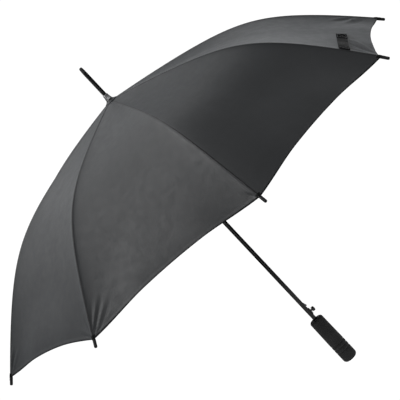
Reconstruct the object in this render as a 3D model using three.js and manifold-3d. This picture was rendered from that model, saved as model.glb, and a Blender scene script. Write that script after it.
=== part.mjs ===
// Golf umbrella that opens by a spring: eight curved ribs on a steel shaft, one runner and a foam grip.
// Millimetres, +Z up along the shaft, origin on the shaft's axis at the middle of the grip's length.
import * as THREE from 'three';
import { mergeVertices } from 'three/addons/utils/BufferGeometryUtils.js';
import Module from 'manifold-3d';

const wasm = await Module();
wasm.setup();

// Canopy and ribs
const RIBS = 8;
const RIB_PITCH = (2 * Math.PI) / RIBS;
const HALF_PITCH = RIB_PITCH / 2;
const RIB_ARC = 674;             // along the seam, from the apex to the tip cap
const APEX_RADIUS = 7;
const APEX_HEIGHT = 755.2;
const SLOPE_START = 8.8;         // degrees below level at the apex
const SLOPE_GAIN = 10.2;         // degrees gained evenly along the rib
const BEND_ANGLE = 27.7;         // degrees gained where the stretchers push the rib into a bend
const BEND_PLACE = 0.55;         // share of the rib's arc at the middle of that bend
const BEND_SPREAD = 0.08;
const CLOTH_START = 15;          // radius where the panels begin under the cap
const CLOTH_THICKNESS = 0.8;
const HEM_RISE = 0.03;           // share of the rib's arc that the hem is cut back between ribs
const PANEL_SAG = 5;             // inward pull of a panel's middle at the hem
const SEAM_GAP = 0.45;           // half of the gap between neighbouring half panels
const STRAP_WIDTH = 24;
const STRAP_PLACE = 0.882;        // share of the rib's arc where the strap is sewn on
const STRAP_TILT = 0.013;
const ROD_RADIUS = 1.6;
const ROD_DROP = 3.3;            // rod's centre below the seam
const ROD_OVERRUN = 10;          // rod inside the tip cap
const TIP_LENGTH = 17.5;
const TIP_RADIUS = 3.1;
const ROD_SIDES = 6;
const ROD_STEPS = 16;

// Hub joints
const HUB_PIVOT_RADIUS = 10;
const HUB_RADIUS = 12.6;
const WIRE_RADIUS = 0.6;
const EYE_RADIUS = 2.3;
const EYE_HOLE = 1.0;
const ARM_WIDTH = 2.2;
const ARM_LENGTH = 10;
const HUB_SLOT = 3.0;
const JOINT_ARC = 283;           // along the rib, where its stretcher is pinned
const JOINT_DROP = 5.4;          // that pin below the rod's centre
const JOINT_PIN_RADIUS = 0.8;
const JOINT_PIN_LENGTH = 5.4;
const CLIP = { length: 12, width: 4.6, height: 3.9, drop: 0.95 };    // folded round the rod at the joint
const TONGUE = { length: 6, width: 2, height: 3.2, radius: 2.2 };    // hangs from the clip round the pin
const FORK = { length: 16, gauge: 1, height: 3.6, offset: 1.8, hole: 1.25 };
const BAR_WIDTH = 3.2;
const BAR_HALF_HEIGHT = 1.7;

// Shaft, runner and spring
const SHAFT_RADIUS = 5;
const SHAFT_BORE = 4.2;
const SHAFT_BOTTOM = -45.5;
const SHAFT_TOP = 774.3;
const SLIDE_BORE = 5.6;
const RUNNER_SKIRT = 6.5;        // below the runner's pivots
const SPRING_LENGTH = 62;
const SPRING_TURNS = 8;
const SPRING_WIRE = 0.7;
const SPRING_RADIUS = 7.0;
const SLEEVE_LENGTH = 58;

// Grip, ferrule and catch
const GRIP_HALF = 63.5;
const GRIP_TOP_RADIUS = 17.6;
const GRIP_BOTTOM_RADIUS = 18.5;
const CATCH_ANGLE = THREE.MathUtils.degToRad(172);
const BUTTON_HEIGHT = 85;
const BUTTON_RADIUS = 5.6;
const TOOTH_STEP = 100.5;        // level edge that holds the closed runner
const TIP_TOP = 856.5;

const group = new THREE.Group();
const finish = (color, roughness, metalness = 0) => new THREE.MeshStandardMaterial({ color, roughness, metalness });
const materials = {
  cloth: finish(0x34363a, 0.55),
  blackSteel: finish(0x141416, 0.3, 0.8),
  rod: finish(0x1b1b1d, 0.45, 0.2),
  chrome: finish(0xd8dade, 0.12, 1),
  springSteel: finish(0x9a9da2, 0.25, 1),
  plastic: finish(0x151517, 0.5),
  foam: finish(0x202022, 0.9),
  webbing: finish(0x1c1c1e, 0.8),
};

function add(name, geometry, material, turn = 0) {
  const mesh = new THREE.Mesh(geometry, material);
  mesh.name = name;
  mesh.rotation.z = turn;
  group.add(mesh);
}

// ---- solids ------------------------------------------------------------------------------------

function signedVolume(geometry) {
  const p = geometry.attributes.position;
  const index = geometry.index.array;
  const [a, b, c] = [new THREE.Vector3(), new THREE.Vector3(), new THREE.Vector3()];
  let volume = 0;
  for (let i = 0; i < index.length; i += 3) {
    a.fromBufferAttribute(p, index[i]);
    b.fromBufferAttribute(p, index[i + 1]);
    c.fromBufferAttribute(p, index[i + 2]);
    volume += a.dot(b.cross(c));
  }
  return volume;
}

// One closed surface with shared corners and its faces pointing out.
function closed(geometry) {
  geometry.deleteAttribute('normal');
  geometry.deleteAttribute('uv');
  const merged = mergeVertices(geometry, 1e-4);
  const source = merged.index.array;
  const kept = [];
  for (let i = 0; i < source.length; i += 3) {
    const [a, b, c] = [source[i], source[i + 1], source[i + 2]];
    if (a !== b && b !== c && c !== a) kept.push(a, b, c);
  }
  merged.setIndex(kept);
  if (signedVolume(merged) < 0) {
    for (let i = 0; i < kept.length; i += 3) [kept[i], kept[i + 1]] = [kept[i + 1], kept[i]];
    merged.setIndex(kept);
  }
  merged.computeVertexNormals();
  return merged;
}

function solid(geometry) {
  const body = closed(geometry);
  const vertProperties = new Float32Array(body.attributes.position.array);
  const triVerts = new Uint32Array(body.index.array);
  return new wasm.Manifold(new wasm.Mesh({ numProp: 3, vertProperties, triVerts }));
}

function surface(manifold) {
  const mesh = manifold.getMesh();
  const geometry = new THREE.BufferGeometry();
  geometry.setAttribute('position', new THREE.BufferAttribute(new Float32Array(mesh.vertProperties), 3));
  geometry.setIndex([...mesh.triVerts]);
  geometry.computeVertexNormals();
  return geometry;
}

const joined = (...parts) => parts.reduce((sum, part) => sum.add(part));

// A profile of [radius, height] pairs turned about the shaft.
function turned(profile, segments = 24) {
  const geometry = new THREE.LatheGeometry(profile.map(([r, z]) => new THREE.Vector2(r, z)), segments);
  return closed(geometry.rotateX(Math.PI / 2));
}

function block(width, depth, height, x = 0, y = 0, z = 0) {
  return new THREE.BoxGeometry(width, depth, height).translate(x, y, z);
}

// Cylinder across a rib's plane, as a pin, eye or hole.
function crossPin(radius, length, x = 0, z = 0, segments = 12) {
  return new THREE.CylinderGeometry(radius, radius, length, segments).translate(x, 0, z);
}

// Cylinder along x, as a push button's stem.
function stemAlongX(radius, from, to, z = 0, segments = 20) {
  const stem = new THREE.CylinderGeometry(radius, radius, to - from, segments);
  return stem.rotateZ(Math.PI / 2).translate((from + to) / 2, 0, z);
}

function polygonSection(radius, sides) {
  const corners = [];
  for (let i = 0; i < sides; i += 1) {
    const angle = ((i + 0.5) * 2 * Math.PI) / sides;
    corners.push(new THREE.Vector2(radius * Math.cos(angle), radius * Math.sin(angle)));
  }
  return new THREE.Shape(corners);
}

function swept(points, radius, sides, steps) {
  const path = new THREE.CatmullRomCurve3(points);
  const geometry = new THREE.ExtrudeGeometry(polygonSection(radius, sides), {
    steps, extrudePath: path, bevelEnabled: false,
  });
  return closed(geometry);
}

function wireRing(radius, height) {
  return closed(new THREE.TorusGeometry(radius, WIRE_RADIUS, 5, 32).translate(0, 0, height));
}

function coil(radius, wire, from, to, turns, stepsPerTurn, sides) {
  const points = [];
  const steps = turns * stepsPerTurn;
  for (let i = 0; i <= steps; i += 1) {
    const angle = (2 * Math.PI * i) / stepsPerTurn;
    const height = from + ((to - from) * i) / steps;
    points.push(new THREE.Vector3(radius * Math.cos(angle), radius * Math.sin(angle), height));
  }
  return swept(points, wire, sides, steps);
}

// ---- the rib's curve and the hinge points that follow from it -----------------------------------

function slopeAt(u) {
  const bend = BEND_ANGLE / (1 + Math.exp((BEND_PLACE - u) / BEND_SPREAD));
  return THREE.MathUtils.degToRad(SLOPE_START + SLOPE_GAIN * u + bend);
}

// Point of the seam over a rib at share u of its arc, dropped square to the seam.
function seamPoint(u, drop = 0) {
  const steps = 64;
  let radius = APEX_RADIUS;
  let height = APEX_HEIGHT;
  for (let i = 0; i < steps; i += 1) {
    const slope = slopeAt((u * (i + 0.5)) / steps);
    radius += (RIB_ARC * u * Math.cos(slope)) / steps;
    height -= (RIB_ARC * u * Math.sin(slope)) / steps;
  }
  const slope = slopeAt(u);
  return { r: radius - drop * Math.sin(slope), z: height - drop * Math.cos(slope), slope };
}

const crownSeam = seamPoint((HUB_PIVOT_RADIUS - APEX_RADIUS) / RIB_ARC, ROD_DROP);
const crownPivot = { ...crownSeam, r: HUB_PIVOT_RADIUS };
const jointFoot = seamPoint(JOINT_ARC / RIB_ARC, ROD_DROP);
const joint = seamPoint(JOINT_ARC / RIB_ARC, ROD_DROP + JOINT_DROP);
// The stretcher is as long as the joint is far from the crown, so the runner's pivots stay under the crown's.
const stretcherLength = Math.hypot(joint.r - crownPivot.r, joint.z - crownPivot.z);
const stretcherRise = Math.asin((crownPivot.z - joint.z) / stretcherLength);
const runnerZ = crownPivot.z - 2 * stretcherLength * Math.sin(stretcherRise);

// ---- ribs, tip caps and stretchers --------------------------------------------------------------

// Puts a shape drawn with x outwards along the rib and z square to it at a point of the rib.
function onRib(geometry, at) {
  return geometry.rotateY(at.slope).translate(at.r, 0, at.z);
}

function rodCurve() {
  const points = [];
  const pieces = 18;
  const first = (ARM_LENGTH - 2 + HUB_PIVOT_RADIUS - APEX_RADIUS) / RIB_ARC;
  const last = 1 + ROD_OVERRUN / RIB_ARC;
  for (let i = 0; i <= pieces; i += 1) {
    const at = seamPoint(first + ((last - first) * i) / pieces, ROD_DROP);
    points.push(new THREE.Vector3(at.r, 0, at.z));
  }
  return points;
}

function rib() {
  const arm = onRib(block(ARM_LENGTH, ARM_WIDTH, 2 * ROD_RADIUS, ARM_LENGTH / 2), crownPivot);
  const eye = onRib(crossPin(EYE_RADIUS, ARM_WIDTH), crownPivot);
  const hole = onRib(crossPin(EYE_HOLE, 2 * ARM_WIDTH, 0, 0, 8), crownPivot);
  const clip = onRib(block(CLIP.length, CLIP.width, CLIP.height, 0, 0, -CLIP.drop), jointFoot);
  const tongueMiddle = TONGUE.height / 2 - JOINT_DROP;
  const tongue = onRib(block(TONGUE.length, TONGUE.width, TONGUE.height, 0, 0, tongueMiddle), jointFoot);
  const boss = onRib(crossPin(TONGUE.radius, TONGUE.width, 0, -JOINT_DROP, 12), jointFoot);
  const pin = onRib(crossPin(JOINT_PIN_RADIUS, JOINT_PIN_LENGTH, 0, -JOINT_DROP, 8), jointFoot);
  const rod = swept(rodCurve(), ROD_RADIUS, ROD_SIDES, ROD_STEPS);
  const whole = joined(...[rod, arm, eye, clip, tongue, boss, pin].map(solid));
  return surface(whole.subtract(solid(hole)));
}

function tipCap() {
  const end = seamPoint(1, ROD_DROP);
  const profile = [
    [2.1, 1.5], [TIP_RADIUS, 1.5], [TIP_RADIUS, 14.5], [2.5, 16.6], [0, TIP_LENGTH], [0, 11], [2.1, 11],
  ];
  const shell = turned([...profile, profile[0]], 12).rotateY(Math.PI / 2);
  const lug = block(5, 1.8, 3.4, 5.4, 0, 4);
  const thread = crossPin(0.9, 4, 5.6, 4.3, 8);
  const whole = solid(onRib(shell, end)).add(solid(onRib(lug, end)));
  return surface(whole.subtract(solid(onRib(thread, end))));
}

// Drawn along x from the runner's wire to the rib's pin, then laid at its angle.
function stretcher() {
  const barEnd = stretcherLength - 5;
  const parts = [
    crossPin(EYE_RADIUS, ARM_WIDTH),
    block(ARM_LENGTH, ARM_WIDTH, 2 * BAR_HALF_HEIGHT, ARM_LENGTH / 2),
    block(barEnd - 8, BAR_WIDTH, 2 * BAR_HALF_HEIGHT, (barEnd + 8) / 2),
  ];
  for (const side of [-1, 1]) {
    const cheek = block(FORK.length, FORK.gauge, FORK.height, stretcherLength - FORK.length / 2);
    parts.push(cheek.translate(0, side * FORK.offset, 0));
    parts.push(crossPin(2, FORK.gauge, stretcherLength).translate(0, side * FORK.offset, 0));
  }
  const holes = [crossPin(EYE_HOLE, 6, 0, 0, 8), crossPin(FORK.hole, 6, stretcherLength, 0, 8)];
  const whole = joined(...parts.map(solid)).subtract(joined(...holes.map(solid)));
  return surface(whole).rotateY(-stretcherRise).translate(HUB_PIVOT_RADIUS, 0, runnerZ);
}

for (let i = 0; i < RIBS; i += 1) {
  const turn = i * RIB_PITCH;
  add(`rib_${i + 1}`, rib(), materials.rod, turn);
  add(`rib_tip_${i + 1}`, tipCap(), materials.plastic, turn);
  add(`stretcher_${i + 1}`, stretcher(), materials.blackSteel, turn);
}

// ---- canopy -------------------------------------------------------------------------------------

// Point of the cloth beside a rib on the +X side: across is 0 on the seam and 1 on the panel's middle.
function clothPoint(u, across, depth) {
  const v = 1 - across;
  const at = seamPoint(u);
  const inward = PANEL_SAG * u * (1 - v * v) + depth;
  const outwards = at.r * Math.cos(HALF_PITCH) - inward * Math.sin(at.slope);
  const sideways = at.r * Math.sin(HALF_PITCH) * v;
  const [c, s] = [Math.cos(HALF_PITCH), Math.sin(HALF_PITCH)];
  return [outwards * c + sideways * s, outwards * s - sideways * c, at.z - inward * Math.cos(at.slope)];
}

// Half a panel, from its seam to its middle line, as a thin closed shell.
function halfPanel(side) {
  const [rows, columns] = [14, 3];
  const positions = [];
  const start = (CLOTH_START - APEX_RADIUS) / RIB_ARC;
  for (const depth of [0, CLOTH_THICKNESS]) {
    for (let i = 0; i <= rows; i += 1) {
      for (let j = 0; j <= columns; j += 1) {
        const across = j / columns;
        const end = 1 - HEM_RISE * (1 - (1 - across) ** 2);
        const u = start + ((end - start) * i) / rows;
        const [x, y, z] = clothPoint(u, across, depth);
        let gapped = y;
        let moved = x;
        if (j === 0) gapped += SEAM_GAP;
        if (j === columns) {
          gapped -= SEAM_GAP * Math.cos(HALF_PITCH);
          moved += SEAM_GAP * Math.sin(HALF_PITCH);
        }
        positions.push(moved, side * gapped, z);
      }
    }
  }
  const layer = (rows + 1) * (columns + 1);
  const at = (i, j, k) => k * layer + i * (columns + 1) + j;
  const index = [];
  const quad = (a, b, c, d) => index.push(a, b, c, a, c, d);
  for (let i = 0; i < rows; i += 1) {
    for (let j = 0; j < columns; j += 1) {
      quad(at(i, j, 0), at(i + 1, j, 0), at(i + 1, j + 1, 0), at(i, j + 1, 0));
      quad(at(i, j, 1), at(i, j + 1, 1), at(i + 1, j + 1, 1), at(i + 1, j, 1));
    }
    quad(at(i, 0, 0), at(i, 0, 1), at(i + 1, 0, 1), at(i + 1, 0, 0));
    quad(at(i, columns, 0), at(i + 1, columns, 0), at(i + 1, columns, 1), at(i, columns, 1));
  }
  for (let j = 0; j < columns; j += 1) {
    quad(at(0, j, 0), at(0, j + 1, 0), at(0, j + 1, 1), at(0, j, 1));
    quad(at(rows, j, 0), at(rows, j, 1), at(rows, j + 1, 1), at(rows, j + 1, 0));
  }
  const geometry = new THREE.BufferGeometry();
  geometry.setAttribute('position', new THREE.BufferAttribute(new Float32Array(positions), 3));
  geometry.setIndex(index);
  return closed(geometry);
}

for (let i = 0; i < RIBS; i += 1) {
  add(`canopy_${i + 1}_left`, halfPanel(1), materials.cloth, i * RIB_PITCH);
  add(`canopy_${i + 1}_right`, halfPanel(-1), materials.cloth, i * RIB_PITCH);
}

// Closure strap, sewn to the fourth rib's seam and lying across the panel, with its hook patch at the free end.
function strapBand(from, to, pieces, low, high) {
  const positions = [];
  for (let i = 0; i <= pieces; i += 1) {
    const across = from + ((to - from) * i) / pieces;
    const middle = STRAP_PLACE - STRAP_TILT * across;
    for (const [edge, lift] of [[-1, low], [1, low], [1, high], [-1, high]]) {
      positions.push(...clothPoint(middle + (edge * STRAP_WIDTH) / 2 / RIB_ARC, across, -lift));
    }
  }
  const index = [0, 2, 1, 0, 3, 2];
  for (let i = 0; i < pieces; i += 1) {
    for (let k = 0; k < 4; k += 1) {
      const [a, b] = [4 * i + k, 4 * i + ((k + 1) % 4)];
      index.push(a, b, b + 4, a, b + 4, a + 4);
    }
  }
  const last = 4 * pieces;
  index.push(last, last + 1, last + 2, last, last + 2, last + 3);
  const geometry = new THREE.BufferGeometry();
  geometry.setAttribute('position', new THREE.BufferAttribute(new Float32Array(positions), 3));
  geometry.setIndex(index);
  return closed(geometry);
}

add('closure_strap', strapBand(0.02, 0.98, 7, 1, 2), materials.webbing, 3 * RIB_PITCH);
add('strap_patch', strapBand(0.74, 0.98, 2, 2.6, 3.4), materials.webbing, 3 * RIB_PITCH);

// ---- hubs, wires and shaft ----------------------------------------------------------------------

// Eight slots through a hub, from its inner ring outwards.
function hubSlots(low, high) {
  const slots = [];
  for (let i = 0; i < RIBS; i += 1) {
    const slot = block(8, HUB_SLOT, high - low, 6.9 + 4, 0, (low + high) / 2);
    slots.push(solid(slot.rotateZ(i * RIB_PITCH)));
  }
  return joined(...slots);
}

// Hub turned with a groove for its wire at the pivots' height.
function hub(bore, low, high, pivotZ) {
  const groove = 1.0;
  const profile = [
    [bore, low], [HUB_RADIUS, low], [HUB_RADIUS, pivotZ - groove], [9, pivotZ - groove],
    [9, pivotZ + groove], [HUB_RADIUS, pivotZ + groove], [HUB_RADIUS, high], [bore, high],
  ];
  return solid(turned([...profile, profile[0]], 32));
}

const crownLow = crownPivot.z - 4.6;
const crownHigh = crownPivot.z + 2.9;
const crown = hub(5.3, crownLow, crownHigh, crownPivot.z).subtract(hubSlots(crownLow - 1, crownHigh + 1));
add('crown', surface(crown), materials.plastic);
add('crown_wire', wireRing(HUB_PIVOT_RADIUS, crownPivot.z), materials.springSteel);

const runnerLow = runnerZ - RUNNER_SKIRT;
const runnerHigh = runnerZ + 4.3;
const runner = hub(SLIDE_BORE, runnerLow, runnerHigh, runnerZ).subtract(hubSlots(runnerZ - 3.4, runnerHigh + 1));
add('runner_hub', surface(runner), materials.plastic);
add('runner_wire', wireRing(HUB_PIVOT_RADIUS, runnerZ), materials.springSteel);

const springTop = runnerLow - 0.3 - SPRING_WIRE;
const springBottom = springTop - SPRING_LENGTH;
add('opening_spring', coil(SPRING_RADIUS, SPRING_WIRE, springBottom, springTop, SPRING_TURNS, 10, 5),
  materials.springSteel);

function runnerSleeve() {
  const top = springBottom - SPRING_WIRE - 0.3;
  const low = top - SLEEVE_LENGTH;
  const profile = [
    [SLIDE_BORE, top], [9.4, top], [9.4, top - 4], [8.2, top - 6], [8.2, low + 12], [9.8, low + 3],
    [9.8, low], [SLIDE_BORE, low],
  ];
  const window = block(8, 3.4, 9, 8, 0, low + 12).rotateZ(CATCH_ANGLE);
  return surface(solid(turned([...profile, profile[0]])).subtract(solid(window)));
}
add('runner_sleeve', runnerSleeve(), materials.plastic);

function shaft() {
  const profile = [
    [SHAFT_BORE, SHAFT_BOTTOM], [SHAFT_RADIUS, SHAFT_BOTTOM], [SHAFT_RADIUS, SHAFT_TOP], [SHAFT_BORE, SHAFT_TOP],
  ];
  const tube = solid(turned([...profile, profile[0]]));
  const toothSlot = block(5, 2.9, 19, 5.5, 0, 107.8);
  const stemHole = stemAlongX(3.1, 2, 8, BUTTON_HEIGHT);
  const cuts = solid(toothSlot.rotateZ(CATCH_ANGLE)).add(solid(stemHole.rotateZ(CATCH_ANGLE)));
  return surface(tube.subtract(cuts));
}
add('shaft', shaft(), materials.blackSteel);

// ---- cap, collar and ferrule at the top ---------------------------------------------------------

const ring = (profile, segments) => turned([...profile, profile[0]], segments);
add('canopy_cap', ring([[5.4, 755.7], [16, 754.3], [16, 755], [8.4, 760.5], [5.4, 760.5]]), materials.cloth);
add('ferrule_collar', ring([[5.3, 760.9], [8.2, 760.9], [8.0, 763.2], [7.0, 767.5], [6.4, 774.6], [5.3, 774.6]]),
  materials.chrome);
add('ferrule_tube', turned([[0, 752], [3.9, 752], [3.9, 774.9], [4.85, 774.9], [4.85, 842], [2.5, 842],
  [2.5, 849], [0, 849]]), materials.blackSteel);
add('ferrule_tip', turned([[0, 849.4], [2.9, 849.4], [2.9, 842.3], [4.7, 842.3], [4.4, 849], [3.9, 854.2],
  [3.2, 855.8], [2.2, TIP_TOP], [0, TIP_TOP]]), materials.springSteel);

// ---- grip ---------------------------------------------------------------------------------------

function gripFoam() {
  const outer = [[0, -GRIP_HALF], [9.5, -GRIP_HALF]];
  const bottomRound = 8.5;
  for (let i = 1; i <= 4; i += 1) {
    const angle = (i * Math.PI) / 8;
    outer.push([
      GRIP_BOTTOM_RADIUS - bottomRound * (1 - Math.sin(angle)),
      -GRIP_HALF + bottomRound * (1 - Math.cos(angle)),
    ]);
  }
  for (const groove of [-33.5, -23.5, -13.5]) {
    outer.push([18.4, groove - 1.8], [17.7, groove], [18.4, groove + 1.8]);
  }
  const topRound = 5.5;
  for (let i = 0; i <= 3; i += 1) {
    const angle = (i * Math.PI) / 6;
    outer.push([
      GRIP_TOP_RADIUS - topRound * (1 - Math.cos(angle)),
      GRIP_HALF - topRound * (1 - Math.sin(angle)),
    ]);
  }
  return turned([...outer, [8.6, GRIP_HALF], [8.6, -54.5], [0, -54.5]], 28);
}
add('grip_foam', gripFoam(), materials.foam);
add('grip_core', turned([[0, -54.1], [8.2, -54.1], [8.2, 62.6], [5.4, 62.6], [5.4, -46], [0, -46]]),
  materials.plastic);

// ---- push button and catch ----------------------------------------------------------------------

function buttonHousing() {
  const saddle = solid(block(3.9, 9, 17, 4.95, 0, BUTTON_HEIGHT));
  const shaftClearance = solid(new THREE.CylinderGeometry(5.3, 5.3, 40, 40).rotateX(Math.PI / 2)
    .translate(0, 0, BUTTON_HEIGHT));
  const hole = solid(stemAlongX(3.1, 0, 10, BUTTON_HEIGHT));
  return surface(saddle.subtract(shaftClearance).subtract(hole));
}
add('button_housing', buttonHousing(), materials.plastic, CATCH_ANGLE);

function alongX(profile, height, segments = 20) {
  return turned(profile, segments).rotateY(Math.PI / 2).translate(0, 0, height);
}

add('button_ring', alongX([[3.2, 7.2], [4.4, 7.2], [4.4, 7.8], [3.2, 7.8], [3.2, 7.2]], BUTTON_HEIGHT),
  materials.chrome, CATCH_ANGLE);
add('release_button', alongX([[0, 1.6], [2.7, 1.6], [2.7, 9.7], [BUTTON_RADIUS - 0.3, 9.7], [BUTTON_RADIUS, 10.1],
  [BUTTON_RADIUS, 15.4], [BUTTON_RADIUS - 0.9, 16.5], [3, 16.9], [0, 16.9]], BUTTON_HEIGHT),
materials.plastic, CATCH_ANGLE);

function catchTooth() {
  const outline = new THREE.Shape([
    [0.4, 92], [2.6, 92], [2.6, TOOTH_STEP], [8.1, TOOTH_STEP], [8.1, 102], [4.6, 113], [2.6, 116.5], [0.4, 116.5],
  ].map(([x, z]) => new THREE.Vector2(x, z)));
  const plate = new THREE.ExtrudeGeometry(outline, { depth: 2, bevelEnabled: false });
  return closed(plate.translate(0, 0, -1).rotateX(Math.PI / 2));
}
add('catch_tooth', catchTooth(), materials.springSteel, CATCH_ANGLE);
add('catch_spring', coil(1.5, 0.22, -3.5, 0, 3, 8, 4).rotateY(Math.PI / 2).translate(0, 0, 106),
  materials.springSteel, CATCH_ANGLE);

export default group;
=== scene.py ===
"""Golf umbrella: its cloth, frame fittings, grip and their finishes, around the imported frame.

Shapes are drawn in millimetres and scaled to metres when they are placed. +Z runs up the shaft.
"""
import bisect
import math
import random

import bmesh
import bpy
from mathutils import Matrix, Vector, noise


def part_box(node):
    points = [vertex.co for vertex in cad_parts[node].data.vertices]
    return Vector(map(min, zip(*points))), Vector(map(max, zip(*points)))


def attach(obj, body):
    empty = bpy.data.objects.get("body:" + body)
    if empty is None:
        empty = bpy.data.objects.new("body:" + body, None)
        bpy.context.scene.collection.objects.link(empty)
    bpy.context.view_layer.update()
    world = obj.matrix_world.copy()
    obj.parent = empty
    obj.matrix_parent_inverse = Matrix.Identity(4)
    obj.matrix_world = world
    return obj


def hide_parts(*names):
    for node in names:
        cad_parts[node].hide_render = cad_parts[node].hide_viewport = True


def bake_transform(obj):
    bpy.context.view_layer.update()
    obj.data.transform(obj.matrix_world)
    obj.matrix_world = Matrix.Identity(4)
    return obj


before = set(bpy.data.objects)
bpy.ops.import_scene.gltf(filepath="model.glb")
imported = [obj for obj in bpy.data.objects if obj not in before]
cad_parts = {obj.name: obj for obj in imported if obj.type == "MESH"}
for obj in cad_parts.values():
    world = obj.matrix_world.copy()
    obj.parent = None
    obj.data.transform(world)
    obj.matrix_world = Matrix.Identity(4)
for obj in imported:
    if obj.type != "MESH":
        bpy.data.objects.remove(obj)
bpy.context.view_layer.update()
random_folds = random.Random(11)

MM = 0.001
FULL_TURN = 2 * math.pi

# Canopy and ribs, as the frame has them
RIBS = 8
PITCH = FULL_TURN / RIBS
HALF_PITCH = PITCH / 2
RIB_ARC = 674
APEX_RADIUS = 7
APEX_HEIGHT = 755.2
SLOPE_START = 8.8
SLOPE_GAIN = 10.2
BEND_ANGLE = 27.7
BEND_PLACE = 0.55
BEND_SPREAD = 0.08
CLOTH_START = 15
HEM_RISE = 0.03
PANEL_SAG = 5
ROD_RADIUS = 1.6
ROD_DROP = 3.3
HUB_PIVOT_RADIUS = 10
JOINT_ARC = 283
JOINT_DROP = 5.4
STRAP_RIB = 4
STRAP_WIDTH = 24
STRAP_PLACE = 0.882
STRAP_TILT = 0.013
CATCH_ANGLE = math.radians(172)
BUTTON_HEIGHT = 85
BUTTON_STEM_RADIUS = 3.1
GRIP_END = -63.5
ALONG_X = Matrix.Rotation(math.pi / 2, 4, "Y")

# Camera and light, in metres and degrees
CAMERA_PLACE = Vector((0.5614, 3.866, 1.0468))
CAMERA_AZIMUTH = 81.8257
CAMERA_ELEVATION = 8.6696
CAMERA_ROLL = -43.1727
LIGHT_DISTANCE = 3
LIGHT_SIZE = 1.4
BACKDROP_STRENGTH = 1.05
UNDER_FILL_POWER = 2.2
UNDER_FILL_GAP = 0.004
FLOOR_HEIGHT = -1.3
RING_POWER = 5
RING_ELEVATION = 38

# Cloth
CLOTH_THICKNESS = 0.4
TAUT_DROP = 4.2
TAUT_REACH = 55
SEAM_DROP = 1.6
SEAM_REACH = 7
HEM_HELD = 0.6
SEAM_LIFT = 0.35
SEAM_COLUMNS = (0, 0.5, 1.1, 1.9, 2.7, 3.5)
HEM_WIDTH = 8
HEM_LIFT = 0.35
HEM_CURL = 1.6
HEM_ROWS = (0, 0.6, 1.3, 2.1, 3.2, 5.0, 6.2, 7.2, 8.0, 8.8, 10, 12)
PANEL_ROWS = 124
PANEL_COLUMNS = 46


# ---- the canopy's surface ------------------------------------------------------------------------

def slope_at(u):
    """Angle of the seam below level at share u of the rib's arc."""
    bend = BEND_ANGLE / (1 + math.exp((BEND_PLACE - u) / BEND_SPREAD))
    return math.radians(SLOPE_START + SLOPE_GAIN * u + bend)


def seam_table(steps=800, reach=1.04):
    """Radius and height along the seam, added up in short straight pieces."""
    radius, height = APEX_RADIUS, APEX_HEIGHT
    table = [(0.0, radius, height)]
    piece = RIB_ARC * reach / steps
    for i in range(steps):
        slope = slope_at((i + 0.5) * reach / steps)
        radius += piece * math.cos(slope)
        height -= piece * math.sin(slope)
        table.append(((i + 1) * reach / steps, radius, height))
    return table


SEAM = seam_table()
SEAM_SHARES = [row[0] for row in SEAM]


def seam_point(u, drop=0.0):
    """(radius, height) of a point on the seam, dropped square to it."""
    i = min(max(bisect.bisect_right(SEAM_SHARES, u) - 1, 0), len(SEAM) - 2)
    (u0, r0, z0), (u1, r1, z1) = SEAM[i], SEAM[i + 1]
    t = (u - u0) / (u1 - u0)
    slope = slope_at(u)
    return (r0 + (r1 - r0) * t - drop * math.sin(slope), z0 + (z1 - z0) * t - drop * math.cos(slope))


def cloth_point(u, across, lift, side):
    """A point beside the rib on +X: across is 0 on the seam and 1 on the panel's middle line."""
    v = 1 - across
    radius, height = seam_point(u)
    slope = slope_at(u)
    inward = PANEL_SAG * u * (1 - v * v) - lift
    outwards = radius * math.cos(HALF_PITCH) - inward * math.sin(slope)
    sideways = radius * math.sin(HALF_PITCH) * v
    x = outwards * math.cos(HALF_PITCH) + sideways * math.sin(HALF_PITCH)
    y = outwards * math.sin(HALF_PITCH) - sideways * math.cos(HALF_PITCH)
    return Vector((x, side * y, height - inward * math.cos(slope)))


def half_width(u):
    return seam_point(u)[0] * math.sin(HALF_PITCH)


def hem_share(across):
    """Share of the rib's arc where the hem lies."""
    return 1 - HEM_RISE * (1 - (1 - across) ** 2)


def ease(x):
    x = min(max(x, 0.0), 1.0)
    return x * x * (3 - 2 * x)


# A fold is (arc, share across, arc, share across, width, height), from one end of its crest to the other.
# Panel n lies between ribs n and n + 1, and the share runs from 0 on the first to 1 on the second.
SEWN_FOLDS = {
    1: [
        (664, 0.985, 634, 0.84, 5.0, 1.0), (664, 0.99, 610, 0.93, 5.0, -1.0),
    ],
    2: [
        (671, 0.004, 588, 0.118, 4.2, -1.3), (669, 0.016, 596, 0.15, 4.0, 1.0),
        (666, 0.004, 584, 0.085, 4.0, 0.9), (667, 0.034, 610, 0.175, 4.6, -0.9),
        (652, 0.004, 586, 0.045, 3.6, -0.6), (670, 0.99, 636, 0.945, 5.0, -1.0),
        (668, 0.99, 610, 0.965, 5.0, 0.7),
    ],
    3: [],
    4: [
        (626, 0.985, 584, 0.80, 5.0, 2.2), (612, 0.985, 564, 0.83, 5.0, -2.0),
        (596, 0.985, 548, 0.86, 5.0, 1.6), (646, 0.985, 598, 0.76, 5.5, -1.6),
        (592, 0.42, 672, 0.07, 6.5, 2.6), (596, 0.28, 672, 0.05, 5.5, -2.4),
        (596, 0.17, 672, 0.02, 5.5, 1.8),
    ],
}


def corner_folds(panel):
    """Small tension folds that run from both sewn corners into the panel."""
    folds = []
    for corner in (0, 1):
        if panel in SEWN_FOLDS and (panel, corner) != (1, 0):
            continue
        for step in range(3):
            angle = math.radians(random_folds.uniform(6, 15) + 13 * step)
            length = random_folds.uniform(42, 88)
            height = random_folds.uniform(0.9, 1.7) * (-1) ** step
            arc = 668 - length * math.cos(angle)
            share = length * math.sin(angle) / (2 * half_width(arc / RIB_ARC))
            near = 0.006 + 0.004 * step
            folds.append((
                668, abs(corner - near), arc, abs(corner - share), random_folds.uniform(4.5, 6.5), height,
            ))
    return folds


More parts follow.
